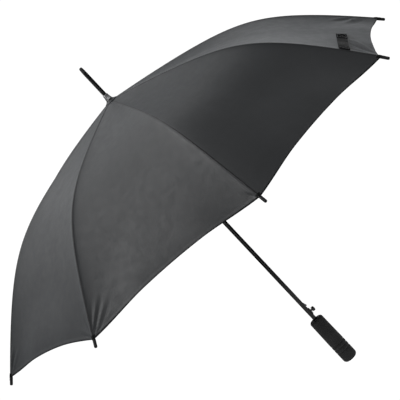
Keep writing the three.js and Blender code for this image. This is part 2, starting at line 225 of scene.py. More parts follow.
FOLDS = {panel: SEWN_FOLDS.get(panel, []) + corner_folds(panel) for panel in range(1, RIBS + 1)}


def fold_lift(panel, u, share):
    """Height of the panel's folds at a point."""
    arc = u * RIB_ARC
    here = Vector(((share - 0.5) * 2 * half_width(u), arc))
    total = 0.0
    for arc_a, share_a, arc_b, share_b, width, height in FOLDS[panel]:
        if arc < min(arc_a, arc_b) - 3 * width:
            continue
        a = Vector(((share_a - 0.5) * 2 * half_width(arc_a / RIB_ARC), arc_a))
        b = Vector(((share_b - 0.5) * 2 * half_width(arc_b / RIB_ARC), arc_b))
        line = b - a
        t = (here - a).dot(line) / line.length_squared
        if not -0.05 < t < 1.0:
            continue
        off = ((here - a) - line * t).length / (width * (0.7 + 0.6 * t))
        fade = ease((t + 0.05) / 0.4) * ease((1 - t) / 0.6)
        total += height * fade * (1 - 0.8 * off * off) * math.exp(-off * off)
    return total


def slack_lift(u, share, point):
    """The gentle unevenness of stretched cloth between its seams."""
    calm = math.sin(math.pi * share)
    broad = noise.noise(point * 0.006) * 1.5
    fine = noise.noise(point * 0.02 + Vector((40, 0, 0))) * 0.35
    return calm * ease(u / 0.25) * (broad + fine)


def taut_drop(distance, u):
    """Cloth pulled tight over a rib falls away from it most steeply beside the seam."""
    beside = SEAM_DROP * (1 - math.exp(-distance / SEAM_REACH))
    across = TAUT_DROP * (1 - math.exp(-distance / TAUT_REACH))
    return -ease(u / 0.35) * (beside + across)


def hem_hold(distance, u):
    """How far the doubled hem, stiffer than the cloth, holds up the middle of the panel's edge."""
    return ease((u - 0.74) / 0.22) * ease((distance - 25) / 120)


def seam_band(distance):
    """The folded seam allowance stands a little proud beside the sewn line."""
    return SEAM_LIFT * (ease(distance / 1.6) - ease((distance - 2.4) / 1.1)) - 0.5 * ease(1 - distance / 1.3)


def hem_band(distance, held):
    """The doubled hem, with its row of stitches pulled in."""
    rolled = HEM_LIFT * (1 - ease((distance - HEM_WIDTH + 0.8) / 1.2)) * ease((distance + 0.5) / 1.2)
    stitched = 0.3 * math.exp(-((distance - HEM_WIDTH + 1.2) / 0.7) ** 2)
    return rolled - stitched - HEM_CURL * (1 - 0.8 * held) * max(1 - distance / 2.6, 0) ** 2


def panel_of(rib, side):
    """The panel's number, and the share across it as a function of a rib's own across."""
    if side > 0:
        return rib, lambda across: across / 2
    return (rib - 2) % RIBS + 1, lambda across: 1 - across / 2


def cloth_lift(rib, side, u, across):
    """How far the finished cloth stands off the plain curved panel."""
    panel, share_of = panel_of(rib, side)
    share = share_of(across)
    turn = Matrix.Rotation((rib - 1) * PITCH, 3, "Z")
    point = turn @ cloth_point(u, across, 0, side)
    seam_distance = across * half_width(u)
    free = ease(seam_distance / 9)
    hem_distance = max(hem_share(across) - u, 0) * RIB_ARC
    held = hem_hold(seam_distance, u)
    lift = free * (fold_lift(panel, u, share) + (1 - 0.9 * held) * slack_lift(u, share, point))
    lift += (1 - held) * taut_drop(seam_distance, u) + held * HEM_HELD
    return lift + seam_band(seam_distance) + hem_band(hem_distance, held)


# ---- mesh helpers --------------------------------------------------------------------------------

def mark_creases(bm, angle):
    """Smooth shading, broken where two faces meet at more than the angle."""
    for face in bm.faces:
        face.smooth = True
    for edge in bm.edges:
        edge.smooth = len(edge.link_faces) == 2 and edge.calc_face_angle(0) < angle


def closed_up(bm, distance=1e-4):
    bmesh.ops.remove_doubles(bm, verts=bm.verts[:], dist=distance)
    bmesh.ops.dissolve_degenerate(bm, dist=distance, edges=bm.edges[:])
    bmesh.ops.recalc_face_normals(bm, faces=bm.faces[:])
    return bm


def face_up(bm):
    """Turns the faces of an open sheet upwards."""
    bmesh.ops.recalc_face_normals(bm, faces=bm.faces[:])
    bm.faces.ensure_lookup_table()
    if bm.faces[0].normal.z < 0:
        bmesh.ops.reverse_faces(bm, faces=bm.faces[:])
    return bm


def lay_flat(bm, flat):
    """Gives a sheet the flat place of each vertex, in metres, as its cloth map."""
    cloth_map = bm.loops.layers.uv.new("cloth")
    for face in bm.faces:
        for loop in face.loops:
            loop[cloth_map].uv = flat[loop.vert.index]
    return face_up(bm)


def eased(bm, edges, offset, segments=2):
    """The shape with the given edges rounded off."""
    bmesh.ops.bevel(
        bm, geom=edges, offset=offset, offset_type="OFFSET", affect="EDGES", segments=segments,
        profile=0.5, material=-1, clamp_overlap=True,
    )
    return bm


def drawn_out(corners, vector):
    """A flat outline drawn out along a vector into a bar."""
    bm = bmesh.new()
    face = bm.faces.new([bm.verts.new(corner) for corner in corners])
    made = bmesh.ops.extrude_face_region(bm, geom=[face])
    far = [v for v in made["geom"] if isinstance(v, bmesh.types.BMVert)]
    bmesh.ops.translate(bm, verts=far, vec=vector)
    bmesh.ops.recalc_face_normals(bm, faces=bm.faces[:])
    return bm


def turned(profile, steps):
    """A profile of (radius, height) pairs spun about the shaft. It closes on itself or ends on the axis."""
    bm = bmesh.new()
    corners = [bm.verts.new((r, 0, z)) for r, z in profile]
    edges = [bm.edges.new(pair) for pair in zip(corners, corners[1:])]
    if profile[0][0] > 0 or profile[-1][0] > 0:
        edges.append(bm.edges.new((corners[-1], corners[0])))
    bmesh.ops.spin(
        bm, geom=corners + edges, cent=(0, 0, 0), axis=(0, 0, 1), angle=FULL_TURN, steps=steps,
        use_merge=True,
    )
    return closed_up(bm)


def rounded(profile, radius, steps=5):
    """The profile with each sharp corner off the axis turned into an arc."""
    result = []
    count = len(profile)
    for i, (r, z) in enumerate(profile):
        here = Vector((r, z))
        if r <= 0:
            result.append((r, z))
            continue
        before = Vector(profile[i - 1]) - here
        after = Vector(profile[(i + 1) % count]) - here
        reach = min(radius, before.length * 0.45, after.length * 0.45)
        a, b = here + before.normalized() * reach, here + after.normalized() * reach
        for k in range(steps + 1):
            t = k / steps
            point = a * (1 - t) ** 2 + here * 2 * t * (1 - t) + b * t * t
            result.append((point.x, point.y))
    return result


def block(size, centre, bevel, segments=2):
    """A box with its edges rounded off."""
    bm = bmesh.new()
    matrix = Matrix.Translation(centre) @ Matrix.Diagonal((*size, 1))
    bmesh.ops.create_cube(bm, size=1, matrix=matrix)
    return eased(bm, bm.edges[:], bevel, segments) if bevel else bm


def cross_pin(radius, length, centre, segments, bevel):
    """A pin across a rib's plane."""
    bm = bmesh.new()
    matrix = Matrix.Translation(centre) @ Matrix.Rotation(math.pi / 2, 4, "X")
    bmesh.ops.create_cone(
        bm, cap_ends=True, segments=segments, radius1=radius, radius2=radius, depth=length, matrix=matrix,
    )
    rims = [e for e in bm.edges if e.calc_face_angle(0) > 1]
    return eased(bm, rims, bevel)


def peg(radius, end_radius, depth, centre, segments=32):
    """A short round peg that points straight out from the shaft along x."""
    bm = bmesh.new()
    matrix = Matrix.Translation(centre) @ ALONG_X
    bmesh.ops.create_cone(
        bm, cap_ends=True, segments=segments, radius1=radius, radius2=end_radius, depth=depth, matrix=matrix,
    )
    return bm


def coil(radius, wire, low, high, turns, steps, sides):
    """A coil spring about the z axis."""
    points = []
    count = turns * steps
    for i in range(count + 1):
        angle = FULL_TURN * i / steps
        points.append((radius * math.cos(angle), radius * math.sin(angle), low + (high - low) * i / count))
    return rod(points, wire, sides)


def plate(outline, depth, bevel):
    """An outline in the rib's plane, drawn as (x, z) pairs, with a thickness across it."""
    bm = drawn_out([(x, -depth / 2, z) for x, z in outline], (0, depth, 0))
    return eased(bm, bm.edges[:], bevel)


def rod(points, radius, sides, cyclic=False):
    """A round bar or wire along a smooth line."""
    curve = bpy.data.curves.new("line", "CURVE")
    curve.dimensions = "3D"
    curve.bevel_depth = radius
    curve.bevel_resolution = max(sides // 4 - 1, 0)
    curve.use_fill_caps = not cyclic
    curve.resolution_u = 1
    spline = curve.splines.new("POLY")
    spline.points.add(len(points) - 1)
    for control, point in zip(spline.points, points):
        control.co = (*point, 1)
    spline.use_cyclic_u = cyclic
    holder = bpy.data.objects.new("line", curve)
    mesh = bpy.data.meshes.new_from_object(holder)
    bm = bmesh.new()
    bm.from_mesh(mesh)
    bpy.data.objects.remove(holder)
    bpy.data.curves.remove(curve)
    bpy.data.meshes.remove(mesh)
    return closed_up(bm)


def ring(radius, thickness, height, steps=72, sides=12):
    """A wire bent into a closed ring about the shaft."""
    section = []
    for k in range(sides):
        angle = k * FULL_TURN / sides
        section.append((radius + thickness * math.cos(angle), height + thickness * math.sin(angle)))
    return turned(section, steps)


def together(*parts):
    """One mesh of several. It keeps the across value of those that carry one."""
    whole = bmesh.new()
    for part in parts:
        mesh = bpy.data.meshes.new("part")
        part.to_mesh(mesh)
        part.free()
        whole.from_mesh(mesh)
        bpy.data.meshes.remove(mesh)
    return whole


def moved(bm, matrix):
    bmesh.ops.transform(bm, matrix=matrix, verts=bm.verts[:])
    return bm


def on_rib(u, drop):
    """Places a shape drawn with x outwards along the rib and z square to it."""
    radius, height = seam_point(u, drop)
    return Matrix.Translation((radius, 0, height)) @ Matrix.Rotation(slope_at(u), 4, "Y")


def about_shaft(angle):
    return Matrix.Rotation(angle, 4, "Z")


def at_rib(rib):
    """Turns a shape drawn on the first rib onto another one."""
    return about_shaft((rib - 1) * PITCH)


def piece(name, bm, material, slot, replaces=(), crease=32):
    """Turns a finished shape into a piece in metres, at the frame's origin."""
    bmesh.ops.transform(bm, matrix=Matrix.Scale(MM, 4), verts=bm.verts[:])
    mark_creases(bm, math.radians(crease))
    mesh = bpy.data.meshes.new(name)
    bm.to_mesh(mesh)
    bm.free()
    mesh.materials.append(material)
    made = bpy.data.objects.new(name, mesh)
    bpy.context.scene.collection.objects.link(made)
    if replaces:
        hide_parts(*replaces)
    return made


def cut_out(bm, *cutters):
    """The shape with other closed shapes taken out of it."""
    holders = []
    for shape in (bm, *cutters):
        mesh = bpy.data.meshes.new("cut")
        shape.to_mesh(mesh)
        shape.free()
        holders.append(bpy.data.objects.new("cut", mesh))
        bpy.context.scene.collection.objects.link(holders[-1])
    for cutter in holders[1:]:
        modifier = holders[0].modifiers.new("cut", "BOOLEAN")
        modifier.operation = "DIFFERENCE"
        modifier.solver = "EXACT"
        modifier.object = cutter
    evaluated = holders[0].evaluated_get(bpy.context.evaluated_depsgraph_get())
    result = bmesh.new()
    result.from_mesh(evaluated.to_mesh())
    evaluated.to_mesh_clear()
    for holder in holders:
        mesh = holder.data
        bpy.data.objects.remove(holder)
        bpy.data.meshes.remove(mesh)
    return result


# ---- finishes ------------------------------------------------------------------------------------

class Finish:
    """A node material, built up a layer at a time from its own principled shader."""

    def __init__(self, name, **sockets):
        self.material = bpy.data.materials.new(name)
        self.material.use_nodes = True
        self.nodes = self.material.node_tree.nodes
        self.links = self.material.node_tree.links
        self.shader = self.nodes["Principled BSDF"]
        for socket, value in sockets.items():
            self.shader.inputs[socket.replace("_", " ")].default_value = value
        self.last_normal = None

    def coordinates(self, kind="Object", scale=(1, 1, 1)):
        source = self.nodes.new("ShaderNodeTexCoord").outputs[kind]
        mapping = self.nodes.new("ShaderNodeMapping")
        mapping.inputs["Scale"].default_value = scale
        self.links.new(source, mapping.inputs["Vector"])
        return mapping.outputs["Vector"]

    def noise(self, scale, detail=4.0, roughness=0.5, vector=None):
        texture = self.nodes.new("ShaderNodeTexNoise")
        texture.inputs["Scale"].default_value = scale
        texture.inputs["Detail"].default_value = detail
        texture.inputs["Roughness"].default_value = roughness
        self.links.new(vector or self.coordinates(), texture.inputs["Vector"])
        return texture.outputs["Fac"]

    def bands(self, pitch, direction, vector):
        texture = self.nodes.new("ShaderNodeTexWave")
        texture.bands_direction = direction
        texture.inputs["Scale"].default_value = FULL_TURN / (20 * pitch)
        texture.inputs["Distortion"].default_value = 0.0
        self.links.new(vector, texture.inputs["Vector"])
        return texture.outputs["Fac"]

    def math(self, operation, a, b):
        node = self.nodes.new("ShaderNodeMath")
        node.operation = operation
        for socket, value in zip(node.inputs, (a, b)):
            if isinstance(value, (int, float)):
                socket.default_value = value
            else:
                self.links.new(value, socket)
        return node.outputs["Value"]

    def spread(self, factor, low, high, start, end):
        """Maps a factor from start..end onto low..high."""
        node = self.nodes.new("ShaderNodeMapRange")
        for socket, value in (("From Min", start), ("From Max", end), ("To Min", low), ("To Max", high)):
            node.inputs[socket].default_value = value
        self.links.new(factor, node.inputs["Value"])
        return node.outputs["Result"]

    def colours(self, factor, first, second):
        ramp = self.nodes.new("ShaderNodeValToRGB")
        ramp.color_ramp.elements[0].position = 0.3
        ramp.color_ramp.elements[1].position = 0.7
        ramp.color_ramp.elements[0].color = (*first, 1)
        ramp.color_ramp.elements[1].color = (*second, 1)
        self.links.new(factor, ramp.inputs["Fac"])
        return ramp.outputs["Color"]

    def tint(self, factor, first, second):
        self.links.new(self.colours(factor, first, second), self.shader.inputs["Base Color"])
        return self

    def rough(self, factor, low, high):
        self.links.new(self.spread(factor, low, high, 0.3, 0.7), self.shader.inputs["Roughness"])
        return self

    def bump(self, height, strength, depth_mm):
        node = self.nodes.new("ShaderNodeBump")
        node.inputs["Strength"].default_value = strength
        node.inputs["Distance"].default_value = depth_mm * MM
        self.links.new(height, node.inputs["Height"])
        if self.last_normal is not None:
            self.links.new(self.last_normal, node.inputs["Normal"])
        self.last_normal = node.outputs["Normal"]
        self.links.new(self.last_normal, self.shader.inputs["Normal"])
        return self


def plain_finish(name, tint, rough, bump, **sockets):
    """A finish whose colour, roughness and bump each follow a noise of their own scale and detail."""
    made = Finish(name, **sockets)
    scale, detail, dark, pale = tint
    made.tint(made.noise(scale, detail), dark, pale)
    scale, detail, low, high = rough
    made.rough(made.noise(scale, detail), low, high)
    scale, detail, strength, depth = bump
    made.bump(made.noise(scale, detail), strength, depth)
    return made.material


def pongee_cloth():
    """Black satin-faced polyester: a fine plain weave with a soft sheen."""
    made = Finish(
        "pongee_cloth", Roughness=0.46, Specular_IOR_Level=0.42, Sheen_Weight=0.32, Sheen_Roughness=0.42,
        Sheen_Tint=(0.62, 0.66, 0.7, 1),
    )
    plain = made.colours(made.noise(7, 3), (0.0255, 0.0272, 0.0295), (0.0312, 0.0336, 0.0365))
    # The "sewn" attribute darkens the base colour almost to black on the seams and the hem: painted shade for
    # the seam grooves and the hem fold.
    sewn = made.nodes.new("ShaderNodeAttribute")
    sewn.attribute_name = "sewn"
    mix = made.nodes.new("ShaderNodeMixRGB")
    mix.inputs["Color2"].default_value = (0.002, 0.002, 0.0025, 1)
    made.links.new(sewn.outputs["Fac"], mix.inputs["Fac"])
    made.links.new(plain, mix.inputs["Color1"])
    made.links.new(mix.outputs["Color"], made.shader.inputs["Base Color"])
    made.rough(made.noise(60, 3), 0.42, 0.5)
    cloth_map = made.coordinates("UV")
    warp = made.bands(0.42 * MM, "X", cloth_map)
    weft = made.bands(0.36 * MM, "Y", cloth_map)
    made.bump(made.math("MULTIPLY", warp, weft), 0.35, 0.05)
    made.bump(made.noise(420, 2), 0.12, 0.1)
    return made.material


def strap_satin():
    made = Finish("strap_satin", Roughness=0.5, Specular_IOR_Level=0.12)
    made.tint(made.noise(220, 4), (0.0045, 0.005, 0.0055), (0.010, 0.0105, 0.011))
    made.rough(made.noise(300, 3), 0.42, 0.6)
    cloth_map = made.coordinates("UV")
    warp = made.bands(0.6 * MM, "X", cloth_map)
    weft = made.bands(0.5 * MM, "Y", cloth_map)
    made.bump(made.math("MAXIMUM", warp, weft), 0.4, 0.08)
    made.bump(made.noise(160, 3), 0.5, 0.5)
    return made.material


def black_lacquer():
    """Glossy black paint on steel tube, with faint rub marks along it."""
    made = Finish(
        "black_lacquer", Roughness=0.22, Coat_Weight=0.5, Coat_Roughness=0.12, Specular_IOR_Level=0.5,
    )
    made.tint(made.noise(30, 4), (0.0075, 0.0075, 0.008), (0.013, 0.013, 0.014))
    drawn = made.noise(40, 5, 0.6, made.coordinates("Object", (60, 60, 1.2)))
    made.rough(drawn, 0.17, 0.3)
    made.bump(made.noise(500, 3), 0.06, 0.05)
    made.bump(drawn, 0.04, 0.03)
    return made.material


def glass_fibre():
    """Pulled fibre rod: fine streaks along its length under resin."""
    made = Finish("glass_fibre", Roughness=0.3, Coat_Weight=0.25, Coat_Roughness=0.2)
    streaks = made.noise(30, 5, 0.65, made.coordinates("UV", (1, 1600, 1)))
    made.tint(streaks, (0.008, 0.008, 0.009), (0.028, 0.028, 0.03))
    made.rough(streaks, 0.25, 0.4)
    made.bump(streaks, 0.15, 0.03)
    return made.material


def eva_foam():
    """Moulded foam: a closed skin with fine cells and a dry, dull surface."""
    made = Finish("eva_foam", Roughness=0.78, Specular_IOR_Level=0.3, Sheen_Weight=0.12, Sheen_Roughness=0.6)
    made.tint(made.noise(55, 5), (0.03, 0.03, 0.031), (0.048, 0.048, 0.049))
    made.rough(made.noise(300, 4), 0.68, 0.86)
    cells = made.nodes.new("ShaderNodeTexVoronoi")
    cells.inputs["Scale"].default_value = 1300
    made.links.new(made.coordinates(), cells.inputs["Vector"])
    made.bump(cells.outputs["Distance"], 0.35, 0.16)
    made.bump(made.noise(160, 4), 0.25, 0.3)
    return made.material


CLOTH = pongee_cloth()
STRAP = strap_satin()
HOOKS = plain_finish(
    "hook_tape", tint=(1500, 2, (0.0025, 0.0025, 0.003), (0.009, 0.009, 0.010)),
    rough=(900, 2, 0.75, 0.95), bump=(1500, 2, 1.0, 0.35),
    Roughness=0.85, Specular_IOR_Level=0.05,
)
THREAD = plain_finish(
    "sewing_thread", tint=(900, 2, (0.008, 0.0085, 0.009), (0.018, 0.0185, 0.019)),
    rough=(700, 2, 0.42, 0.6), bump=(2500, 2, 0.4, 0.05),
    Roughness=0.5, Sheen_Weight=0.05, Sheen_Roughness=0.4,
)
# Thicker thread with a light grey base colour: a painted highlight for the light the strap's stitches catch.
PAINTED_HIGHLIGHT_THREAD = plain_finish(
    "strap_thread_painted_highlight", tint=(900, 2, (0.1, 0.104, 0.11), (0.2, 0.204, 0.21)),
    rough=(700, 2, 0.3, 0.45), bump=(2500, 2, 0.4, 0.05),
    Roughness=0.35, Sheen_Weight=0.3, Sheen_Roughness=0.4,
)
LACQUER = black_lacquer()
PAINT = plain_finish(
    "stretcher_paint", tint=(45, 4, (0.014, 0.014, 0.015), (0.028, 0.028, 0.03)),
    rough=(160, 4, 0.3, 0.48), bump=(900, 3, 0.15, 0.04),
    Roughness=0.38, Metallic=0.35, Specular_IOR_Level=0.5,
)
FIBRE = glass_fibre()
PLASTIC = plain_finish(
    "moulded_plastic", tint=(80, 4, (0.008, 0.008, 0.0085), (0.016, 0.016, 0.017)),
    rough=(400, 4, 0.34, 0.5), bump=(1400, 3, 0.22, 0.05),
    Roughness=0.42, Specular_IOR_Level=0.45,
)
BUTTON = plain_finish(
    "gloss_button", tint=(120, 4, (0.010, 0.010, 0.0105), (0.022, 0.022, 0.023)),
    rough=(500, 3, 0.2, 0.34), bump=(900, 2, 0.08, 0.05),
    Roughness=0.25, Coat_Weight=0.3, Coat_Roughness=0.15,
)
CHROME = plain_finish(
    "chrome_plate", tint=(60, 4, (0.88, 0.89, 0.9), (0.95, 0.95, 0.96)),
    rough=(350, 5, 0.22, 0.34), bump=(700, 3, 0.05, 0.03),
    Metallic=1.0, Roughness=0.28,
)
STEEL = plain_finish(
    "spring_steel", tint=(90, 4, (0.42, 0.42, 0.44), (0.58, 0.58, 0.6)),
    rough=(500, 4, 0.2, 0.38), bump=(1200, 3, 0.2, 0.03),
    Metallic=1.0, Roughness=0.26,
)
# Grey plated metal of the ferrule's point, scuffed where it meets the ground.
GUNMETAL = plain_finish(
    "gunmetal", tint=(240, 5, (0.07, 0.07, 0.072), (0.13, 0.13, 0.135)),
    rough=(500, 4, 0.32, 0.52), bump=(900, 4, 0.3, 0.06),
    Metallic=0.7, Roughness=0.4,
)
FOAM = eva_foam()


# ---- camera, light and floor ---------------------------------------------------------------------

def direction(azimuth, elevation):
    """Unit vector from the umbrella towards an azimuth and elevation in radians."""
    level = math.cos(elevation)
    return Vector((math.cos(azimuth) * level, math.sin(azimuth) * level, math.sin(elevation)))


def add_camera():
    data = bpy.data.cameras.new("camera")
    data.lens = 155.94
    data.sensor_width = 36
    data.clip_end = 60
    camera = bpy.data.objects.new("camera", data)
    azimuth, elevation = math.radians(CAMERA_AZIMUTH), math.radians(CAMERA_ELEVATION)
    back = direction(azimuth, elevation)
    level = Vector((-math.sin(azimuth), math.cos(azimuth), 0))
    upright = Matrix((level, back.cross(level), back)).transposed().to_4x4()
    roll = Matrix.Rotation(math.radians(CAMERA_ROLL), 4, "Z")
    camera.matrix_world = Matrix.Translation(CAMERA_PLACE) @ upright @ roll
    bpy.context.scene.collection.objects.link(camera)
    bpy.context.scene.camera = camera


def add_softbox(name, azimuth, elevation, power):
    """A square area light three metres off that faces the middle of the umbrella."""
    towards = direction(math.radians(azimuth), math.radians(elevation))
    data = bpy.data.lights.new(name, "AREA")
    data.size = LIGHT_SIZE
    data.energy = power
    lamp = bpy.data.objects.new(name, data)
    lamp.visible_camera = False
    lamp.matrix_world = towards.to_track_quat("Z", "Y").to_matrix().to_4x4()
    lamp.location = Vector((0, 0, 0.5)) + towards * LIGHT_DISTANCE
    bpy.context.scene.collection.objects.link(lamp)


def lit_backdrop(nodes, links, seen_shader, lit_shader, output):
    """Shows one shader to the camera and another to the light that strikes the umbrella."""
    path = nodes.new("ShaderNodeLightPath")
    mix = nodes.new("ShaderNodeMixShader")
    links.new(path.outputs["Is Camera Ray"], mix.inputs["Fac"])
    links.new(lit_shader, mix.inputs[1])
    links.new(seen_shader, mix.inputs[2])
    links.new(mix.outputs["Shader"], output)


def add_studio():
    world = bpy.data.worlds.new("studio")
    world.use_nodes = True
    nodes, links = world.node_tree.nodes, world.node_tree.links
    backdrop = nodes["Background"]
    backdrop.inputs["Color"].default_value = (1, 1, 1, 1)
    backdrop.inputs["Strength"].default_value = BACKDROP_STRENGTH
    fill = nodes.new("ShaderNodeBackground")
    fill.inputs["Color"].default_value = (0.93, 0.97, 1, 1)
    fill.inputs["Strength"].default_value = 0.05
    lit_backdrop(nodes, links, backdrop.outputs["Background"], fill.outputs["Background"],
                 nodes["World Output"].inputs["Surface"])
    bpy.context.scene.world = world
    bpy.context.scene.view_settings.view_transform = "Standard"
    add_softbox("key", 0, 62, 32)
    add_softbox("side_key", 300, 62, 12)
    add_softbox("top_back", 240, 62, 5)
    for step in range(1, RIBS):
        add_softbox(f"ring_{step}", math.degrees(step * PITCH), RING_ELEVATION, RING_POWER)
    add_softbox("back_low", 290, 18, 4)
    add_softbox("graze_right", 225, 4, 2)
    add_softbox("graze_back", 245, 4, 5)
    add_softbox("shaft_glint", 15, 0, 5)
    add_softbox("front_low", 80, -8, 4)
    add_under_fill()


def add_under_fill():
    """A soft panel level with the grip's end, which lights the frame under the canopy."""
    data = bpy.data.lights.new("under_fill", "AREA")
    data.size = LIGHT_SIZE
    data.energy = UNDER_FILL_POWER
    lamp = bpy.data.objects.new("under_fill", data)
    lamp.visible_camera = False
    place = Matrix.Translation((0, 0, GRIP_END * MM + UNDER_FILL_GAP))
    lamp.matrix_world = place @ Matrix.Rotation(math.pi, 4, "X")
    bpy.context.scene.collection.objects.link(lamp)


def add_floor():
    """Pale floor far enough below that no edge or hard shadow shows."""
    bm = bmesh.new()
    bmesh.ops.create_circle(bm, cap_ends=True, segments=64, radius=40)
    bmesh.ops.translate(bm, verts=bm.verts[:], vec=(0, 0, FLOOR_HEIGHT))
    mesh = bpy.data.meshes.new("floor")
    bm.to_mesh(mesh)
    bm.free()
    pale = Finish("pale_floor", Roughness=0.9)
    pale.tint(pale.noise(3, 2), (0.1, 0.1, 0.1), (0.12, 0.12, 0.12))
    white = pale.nodes.new("ShaderNodeEmission")
    white.inputs["Strength"].default_value = BACKDROP_STRENGTH
    clear = pale.nodes.new("ShaderNodeBsdfTransparent")
    facing = pale.nodes.new("ShaderNodeNewGeometry")
    mix = pale.nodes.new("ShaderNodeMixShader")
    seen, lit = white.outputs["Emission"], pale.shader.outputs["BSDF"]
    lit_backdrop(pale.nodes, pale.links, seen, lit, mix.inputs[1])
    pale.links.new(facing.outputs["Backfacing"], mix.inputs["Fac"])
    pale.links.new(clear.outputs["BSDF"], mix.inputs[2])
    pale.links.new(mix.outputs["Shader"], pale.nodes["Material Output"].inputs["Surface"])
    mesh.materials.append(pale.material)
    floor = bpy.data.objects.new("floor", mesh)
    bpy.context.scene.collection.objects.link(floor)


# ---- canopy --------------------------------------------------------------------------------------

def side_name(side):
    return "left" if side > 0 else "right"


def hinge_cloth(made, rib, side):
    """Bakes the piece's placement into its mesh. The points at nine tenths of the arc, on the seam and on the
    middle line, are worked out but not used.
    """
    turn = at_rib(rib)
    start = turn @ (cloth_point(0.9, 0, 0, side) * MM)
    end = turn @ (cloth_point(0.9, 1, 0, side) * MM)
    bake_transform(made)


def column_share(column, u):
    """Share across at a column of the cloth's grid: the first few lie at fixed distances from the seam."""
    sewn = len(SEAM_COLUMNS)
    if column < sewn:
        return min(SEAM_COLUMNS[column] / half_width(u), 0.1 * (column + 1))
    first = column_share(sewn - 1, u)
    along = (column - sewn + 1) / (PANEL_COLUMNS - sewn + 1)
    return first + (1 - first) * along * (0.35 + 0.65 * along)


def row_share(row, across):
    """Share of the rib's arc at a row: the last few lie at fixed distances from the hem."""
    hem = hem_share(across)
    sewn = len(HEM_ROWS)
    if row > PANEL_ROWS - sewn:
        return hem - HEM_ROWS[PANEL_ROWS - row] / RIB_ARC
    start = (CLOTH_START - APEX_RADIUS) / RIB_ARC
    last = hem - HEM_ROWS[-1] / RIB_ARC
    return start + (last - start) * row / (PANEL_ROWS - sewn + 1)


def add_half_panel(rib, side):
    bm = bmesh.new()
    across_of = bm.verts.layers.float.new("across")
    bmesh.ops.create_grid(bm, x_segments=PANEL_COLUMNS, y_segments=PANEL_ROWS, size=0.5)
    # Painted shade mask for the seams and the hem, read by the cloth's base colour.
    seam_shade_layer = bm.verts.layers.float.new("sewn")
    share_of = panel_of(rib, side)[1]
    flat = {}
    for corner in bm.verts:
        column = round((corner.co.x + 0.5) * PANEL_COLUMNS)
        row = round((corner.co.y + 0.5) * PANEL_ROWS)
        along = row_share(row, 0)
        across = 1.0 if column == PANEL_COLUMNS else column_share(column, along)
        u = row_share(row, across)
        corner[across_of] = across
        from_seam, from_hem = across * half_width(u), (hem_share(across) - u) * RIB_ARC
        # Painted shade: 1 on the seams and the hem, fading out a few millimetres away from them.
        corner[seam_shade_layer] = max(ease(1.2 - from_seam / 2.7), ease(1.2 - from_hem / 3.2))
        flat[corner.index] = ((share_of(across) - 0.5) * 2 * half_width(u) * MM, u * RIB_ARC * MM)
        corner.co = cloth_point(u, across, cloth_lift(rib, side, u, across), side)
    lay_flat(bm, flat)
    area = sum(face.calc_area() for face in bm.faces) * MM * MM
    bmesh.ops.solidify(bm, geom=bm.faces[:], thickness=CLOTH_THICKNESS)
    moved(bm, at_rib(rib))
    name = f"canopy_cloth_{rib}_{side_name(side)}"
    made = piece(name, bm, CLOTH, "cloth", [f"canopy_{rib}_{side_name(side)}"])
    hinge_cloth(made, rib, side)
    width = half_width(0.97) * MM


def stitch_row(points, normals, length, thickness, across=None):
    """A row of short thread dashes, one at each point, laid along the row."""
    bm = bmesh.new()
    layer = bm.verts.layers.float.new("across")
    for i, point in enumerate(points[:-1]):
        along = (points[i + 1] - point).normalized()
        up = normals[i]
        beside = up.cross(along).normalized()
        up = along.cross(beside)
        basis = Matrix((along, beside, up)).transposed().to_4x4()
        stretch = Matrix.Diagonal((length / 2, thickness, thickness, 1))
        made = bmesh.ops.create_icosphere(
            bm, subdivisions=1, radius=1, matrix=Matrix.Translation(point) @ basis @ stretch,
        )
        for corner in made["verts"]:
            corner[layer] = across[i] if across else 0.0
    return bm


def cloth_normal(side, u, across):
    """Outward direction of the plain curved panel."""
    centre = cloth_point(u, across, 0, side)
    return (cloth_point(u, across, 1, side) - centre).normalized()


def add_hem_stitches(rib, side):
    """The row of stitches that holds the folded hem."""
    count = 78
    stitch_line = (HEM_WIDTH - 1.2) / RIB_ARC
    shares = [0.02 + 0.965 * i / count for i in range(count + 1)]
    points, normals = [], []
    for across in shares:
        u = hem_share(across) - stitch_line
        points.append(cloth_point(u, across, cloth_lift(rib, side, u, across) + 0.06, side))
        normals.append(cloth_normal(side, u, across))
    bm = stitch_row(points, normals, 2.1, 0.17, shares)
    moved(bm, at_rib(rib))
    made = piece(f"hem_stitches_{rib}_{side_name(side)}", bm, THREAD, "cloth", crease=60)
    hinge_cloth(made, rib, side)


def add_seam_stitches(rib):
    """Two rows of stitches beside the sewn seam."""
    rows = []
    pitch = 3.1
    count = int((RIB_ARC - 24) / pitch)
    for side in (-1, 1):
        points, normals = [], []
        for i in range(count + 1):
            u = (16 + i * pitch) / RIB_ARC
            across = 1.75 / half_width(u)
            points.append(cloth_point(u, across, cloth_lift(rib, side, u, across) + 0.06, side))
            normals.append(cloth_normal(side, u, across))
        rows.append(stitch_row(points, normals, 2.1, 0.15))
    bm = moved(together(*rows), at_rib(rib))
    made = piece(f"seam_stitches_{rib}", bm, THREAD, "cloth", crease=60)
    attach(made, f"rib_{rib}")


def strap_point(across, offset, above):
    """A point above the strap's line on the fourth panel, offset along the rib in millimetres."""
    u = STRAP_PLACE - STRAP_TILT * across + offset / RIB_ARC
    rolled = 0.35 * ease((abs(offset) - STRAP_WIDTH / 2 + 2.6) / 1.6)
    buckle = 0.5 * math.sin(across * 21) * ease(across * 8) * ease((0.98 - across) * 6)
    return cloth_point(u, across, cloth_lift(STRAP_RIB, 1, u, across) + above + rolled + buckle, 1)


